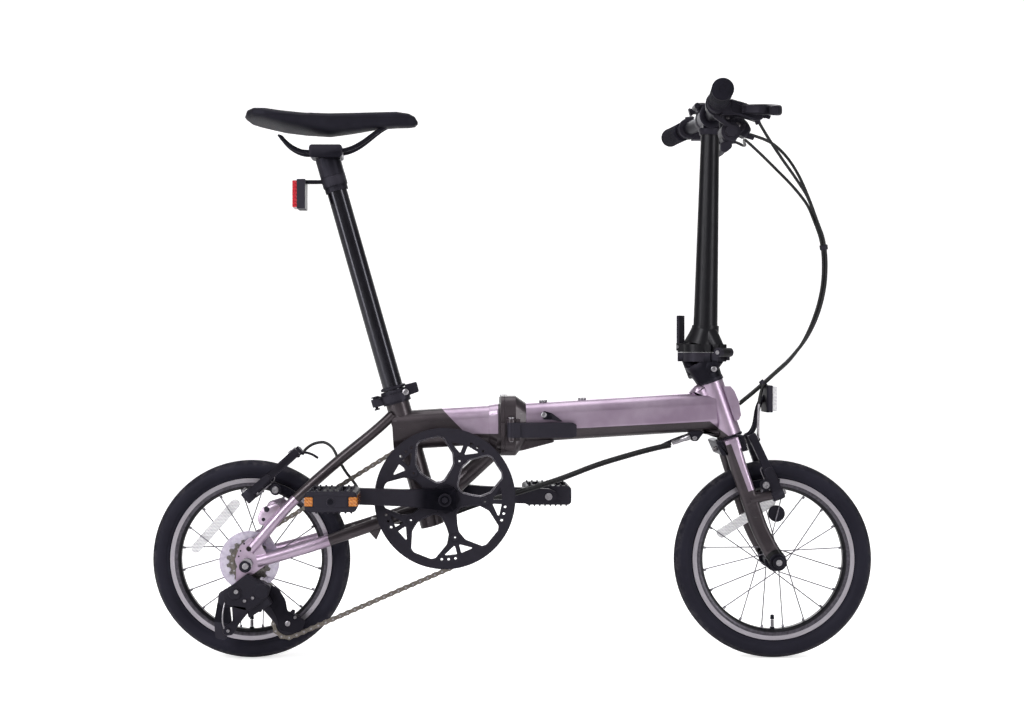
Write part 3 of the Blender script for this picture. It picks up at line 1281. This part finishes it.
# ------------------------------------------------------------------ pedals
def pedal(name, cx, cz, side):
    amber, tread = Shape(), Shape()
    for q in (-1, 1):
        x0, x1 = sorted((cx + q * 27, cx + q * 40.5))
        y0, y1 = span(side, 173.0, 178.9)
        amber.block((x0, y0, cz - 7.5), (x1, y1, cz + 7.5), 1.4)
        # rib along the body
        y0, y1 = span(side, 90, 174)
        x = cx + q * 24
        tread.block((x - 2, y0, cz - 15.4), (x + 2, y1, cz + 15.4), 1.0)
    # pins above and below
    for k in range(8):
        x = cx - 31.5 + 9 * k
        for q in (-1, 1):
            for y in (90, 132, 174):
                tread.rod((x, side * y, cz + q * 14), (x, side * y, cz + q * 18.4), 2.6, 1.3,
                          sides=6)
    # raised frame on the outer face: half length, z range
    y0, y1 = span(side, 177.6, 179.4)
    for half, z0, z1 in ((37, 8.6, 14.6), (37, -14.6, -8.6), (25.5, -9, 9)):
        tread.block((cx - half, y0, cz + z0), (cx + half, y1, cz + z1), 0.8)
    tread.lathe((cx, side * 179.2, cz), Y * side,
                [(0, 7.0), (1.4, 6.6), (1.4, 4.6), (0.6, 4.2)], 28)
    amber.make(name + "_amber", AMBER, name, "plastic_black")
    tread.make(name + "_tread", PLASTIC, name, "plastic_black")


for row in PEDALS:
    pedal(*row)


# ------------------------------------------------------------------ nipples and reflector clip
def nipples(end, wheel_x):
    """A nipple at the outer end of each spoke, found from the spokes' own vertices."""
    spokes = NODES[end + "_spokes"]
    points = [spokes.matrix_world @ v.co * 1000 for v in spokes.data.vertices]
    radii = [math.hypot(p.x - wheel_x, p.z - WHEEL_Z) for p in points]
    outer = max(radii)
    found = []
    for radius, p in zip(radii, points):
        if radius > outer - 2.5:
            angle = math.atan2(p.z - WHEEL_Z, p.x - wheel_x)
            if all(abs((angle - other + math.pi) % (2 * math.pi) - math.pi) > 0.04
                   for other, _ in found):
                found.append((angle, p.y))
    shape = Shape()
    for angle, y in found:
        out = Vector((math.cos(angle), 0, math.sin(angle)))
        centre = Vector((wheel_x, y, WHEEL_Z))
        shape.rod(centre + out * (outer - 5), centre + out * (outer - 0.5), 1.8, 2.2, sides=10,
                  bevel=0.3)
    shape.make(end + "_nipples", SPOKE, end + "_wheel", "spoke_steel")


nipples("front", FRONT_X)
nipples("rear", REAR_X)
clip = Shape().lathe((433.90, -9, 236.35), Y, [(0, 12.2), (1.2, 13.6), (5.8, 13.6), (7, 12.2)], 36)
clip.lathe((433.90, -9.6, 236.35), Y, [(0, 4.0), (0.8, 4.6), (1.4, 4.6)], 24)
clip.make("front_reflector_clip", PLASTIC, "front_wheel", "plastic_black")

# ------------------------------------------------------------------ seat collar and hinge
bolts = Shape().bolt((-174.50, -24, 436.47), TO_RIGHT, 5.2, 3.0, socket=0.42)
bolts.bolt((-216.90, -16, 423.15), TO_RIGHT, 3.0, 2.4)
bolts.make("seat_collar_bolts", STEEL, "rear_frame", "steel")
collar = Shape().rod((-220.55, -15, 422.25), (-220.55, 15, 422.25), 7.0, sides=24, bevel=1.0)
collar.lathe(SEAT_ORIGIN - SEAT_AXIS * 34.5, SEAT_AXIS,
             [(0, 21.8), (1.2, 22.6), (20, 22.6), (21.2, 21.6)], 40)
collar.lathe(SEAT_ORIGIN - SEAT_AXIS * 12, SEAT_AXIS,
             [(0, 19.0), (0.8, 21.0), (4, 21.0), (5.4, 18.2)], 40)
collar.prism(rounded([(-175.75, 448.27), (-157.10, 453.18), (-152.85, 436.98),
                      (-169.21, 430.93), (-175.75, 429.62)], 2), -22, -6, 1.2)
collar.make("seat_collar_rings", BLACK, "rear_frame", "black_alloy")
Shape().bolt((50.01, -36, 399.85), TO_RIGHT, 4.4, 2.6).make(
    "catch_bolt", STEEL, "front_frame", "steel")

# ------------------------------------------------------------------ gussets, lug and fork crown
# corner between the main tube and the head tube
Shape().prism(rounded([(300.02, 446.26), (320.33, 451.50), (333.43, 416.46), (313.78, 418.09),
                       (290.85, 433.65)], 3), -15, 15, 6).make(
    "head_tube_gusset", PAINT_LIGHT, "front_frame", "frame_paint", angle=60)
lug = Shape().prism(rounded([
    (289.02, 372.90), (291.31, 360.61), (295.41, 355.20), (303.77, 355.20), (309.34, 363.06),
    (314.26, 368.80), (320.82, 372.90)], 3), -9, 9, 1.2)
lug.tube([(291.92, -5, 366.61), (277.15, -5, 361.68), (260.05, -4, 355.05),
          (246.22, -3, 348.42)], 2.6, 12)
lug.make("cable_lug", BLACK, "front_frame", "black_alloy")
Shape().prism(rounded([(307.55, 372.79), (313.12, 367.22), (321.31, 366.24), (326.88, 363.29),
                       (336.06, 360.66), (344.25, 363.61), (341.96, 377.05)], 4),
              -14, 14, 5).make("down_gusset", PAINT_DARK, "front_frame", "frame_paint", angle=60)
plates = Shape()
for outline in ([(328.15, 356.04), (338.92, 358.97), (349.37, 334.16), (337.95, 334.16)],
                [(363.41, 367.14), (373.20, 367.46), (381.04, 342.32), (371.90, 340.04)]):
    plates.prism(rounded(outline, 2), -44, 44, 3)
plates.make("crown_plates", BLACK, "fork", "black_alloy")
bolts = Shape().rod((374.51, -20, 353.75), (382.02, -20, 355.38), 4.4, 3.8, sides=18, bevel=0.8)
bolts.rod((333.70, -20, 344.28), (327.50, -20, 342.32), 4.0, 3.4, sides=18, bevel=0.8)
bolts.make("crown_bolts", DARK_STEEL, "fork", "steel")
dark_holes("boss_holes", -54.9, -53.6, ((-397.55, 248.32, 4.6), (-402.70, 231.89, 3.0)))


# ------------------------------------------------------------------ world, floor, lights, camera
def studio_world():
    """Light that grows towards the zenith; the camera itself sees plain white."""
    world = bpy.data.worlds.new("studio")
    world.use_nodes = True
    nodes, link = world.node_tree.nodes, world.node_tree.links.new
    split = nodes.new("ShaderNodeSeparateXYZ")
    link(nodes.new("ShaderNodeTexCoord").outputs["Generated"], split.inputs[0])
    height = nodes.new("ShaderNodeMapRange")
    for name, value in (("From Min", -0.2), ("From Max", 0.9), ("To Min", 0.10), ("To Max", 0.42)):
        height.inputs[name].default_value = value
    link(split.outputs[2], height.inputs["Value"])
    choice = nodes.new("ShaderNodeMix")
    choice.data_type = "FLOAT"
    link(nodes.new("ShaderNodeLightPath").outputs["Is Camera Ray"], choice.inputs[0])
    link(height.outputs[0], choice.inputs[2])
    choice.inputs[3].default_value = 1.0
    background = nodes["Background"]
    background.inputs[0].default_value = (1, 1, 1, 1)
    link(choice.outputs[0], background.inputs[1])
    SCENE.world = world


def floor():
    """Pale floor that curves up into a wall behind the bicycle, at +Y."""
    half, radius, curve_start, wall_top = 14.0, 1.5, 2.6, 9
    angles = [math.pi / 2 * i / 12 for i in range(13)]
    profile = [(-half, 0)]
    profile += [(curve_start + radius * math.sin(q), radius - radius * math.cos(q))
                for q in angles]
    profile.append((curve_start + radius, wall_top))
    mesh = bpy.data.meshes.new("floor")
    mesh.from_pydata([(x, y, z) for y, z in profile for x in (-half, half)], [],
                     [(2 * i, 2 * i + 1, 2 * i + 3, 2 * i + 2) for i in range(len(profile) - 1)])
    smooth_faces(mesh)
    obj = bpy.data.objects.new("floor", mesh)
    SCENE.collection.objects.link(obj)
    m = Material("floor_pale")
    patches = m.ramp(m.noise(scale=0.004, detail=3), start=0.3, end=0.7)
    # brighter to the camera only
    glow = m.mul(m.node("LightPath").outputs["Is Camera Ray"], by=0.55)
    m.set(Base_Color=m.mix(patches, "#f7f6f7", "#fbfbfb"), Roughness=0.75,
          Specular_IOR_Level=0.2, Emission_Color=(1, 1, 1, 1), Emission_Strength=glow)
    assign(obj, m)


def area_light(name, place, target, size, power, height=None):
    light = bpy.data.lights.new(name, "AREA")
    light.energy = power
    light.size = size
    if height:
        light.shape = "RECTANGLE"
        light.size_y = height
    obj = bpy.data.objects.new(name, light)
    SCENE.collection.objects.link(obj)
    obj.location = place
    obj.rotation_euler = (Vector(target) - Vector(place)).to_track_quat("-Z", "Y").to_euler()


def camera():
    """Level view of the right side."""
    data = bpy.data.cameras.new("camera")
    data.sensor_width = 36.0
    data.lens = 55.546875
    data.shift_x = 0.0625
    data.shift_y = -0.017578125
    data.clip_end = 50
    obj = bpy.data.objects.new("camera", data)
    SCENE.collection.objects.link(obj)
    obj.location = (-0.1054, -2.6, 0.5147)
    obj.rotation_euler = (math.radians(90), 0, 0)
    SCENE.camera = obj


studio_world()
floor()
area_light("key", (-1.5, -2.4, 2.2), target=(0, 0, 0.4), size=0.9, power=50, height=2.0)
area_light("strip_left", (-2.6, -1.5, 0.9), target=(0, 0, 0.55), size=0.55, power=30, height=2.4)
area_light("strip_right", (2.3, -2.0, 1.1), target=(0, 0, 0.55), size=0.60, power=30, height=2.4)
area_light("top", (0, 0.1, 3.2), target=(0, 0, 0.4), size=2.0, power=24)
area_light("back", (0.4, 2.4, 1.4), target=(0, 0, 0.5), size=1.6, power=18)
camera()
SCENE.view_settings.view_transform = "Standard"
SCENE.view_settings.look = "None"
